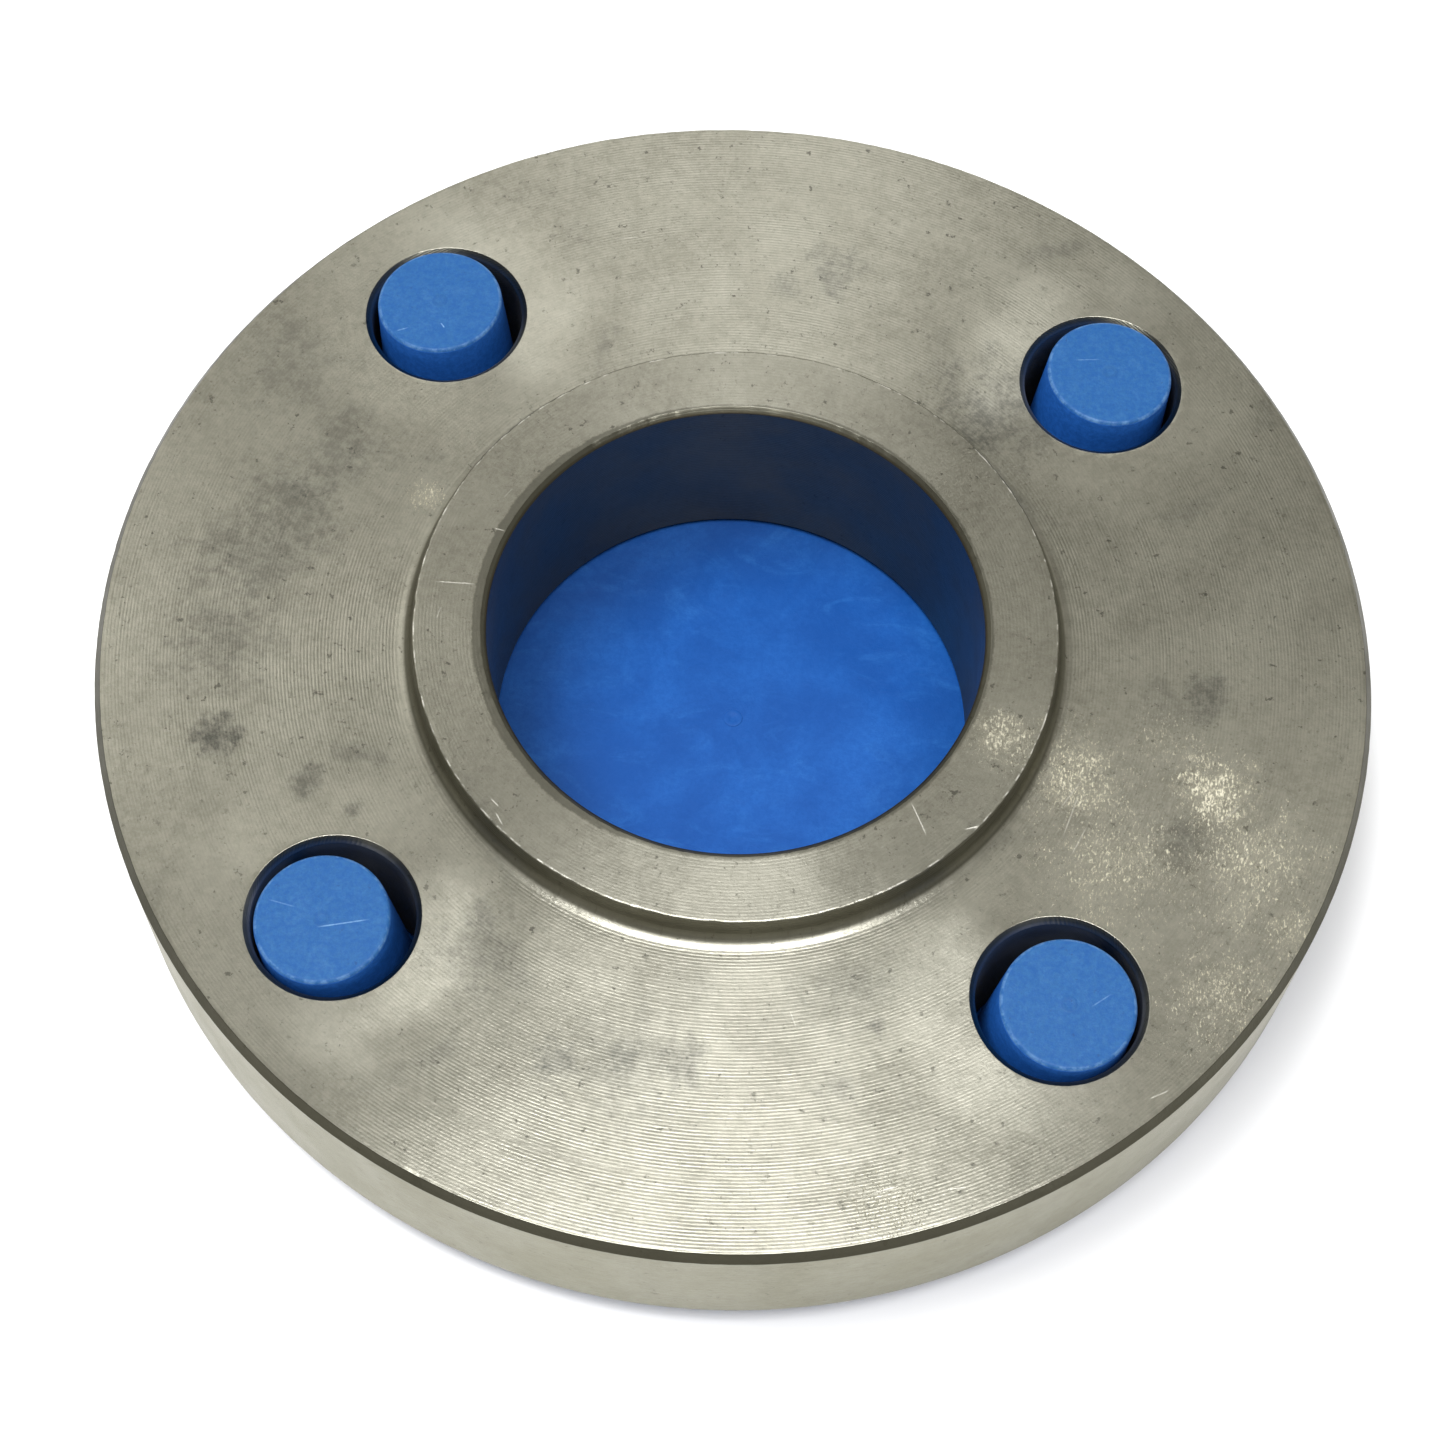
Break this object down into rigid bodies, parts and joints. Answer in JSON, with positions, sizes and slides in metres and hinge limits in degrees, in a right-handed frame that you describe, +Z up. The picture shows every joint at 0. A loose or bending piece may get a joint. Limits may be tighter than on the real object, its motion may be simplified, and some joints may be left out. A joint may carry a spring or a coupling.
{
  "type": "slip-on pipe flange",
  "caption": "Hubbed slip-on pipe flange with a through bore, lying face down in a push-in plastic protector whose pegs stand in the bolt holes.",
  "frame": {"origin": "centre of the protector's underside, the face the object rests on", "axes": "+Z up along the flange's axis, from the sealing face to the hub; the bolt holes lie at 45 degrees to +X and +Y"},
  "size_m": [0.128, 0.128, 0.0249],
  "materials": {
    "turned_stainless": "satin, faced on a lathe, with fine concentric tool marks, a few stains and scratches",
    "blue_polyethylene": "satin moulded polyethylene, paler and scuffed on the peg tips"
  },
  "bodies": {
    "protector": {"flange_protector": "blue_polyethylene"},
    "flange": {"slip_on_flange": "turned_stainless"}
  },
  "joints": [
    {"name": "flange_lift", "type": "slide", "parent": "protector", "child": "flange", "axis": [0, 0, 1], "range_m": [0, 0.03]}
  ]
}
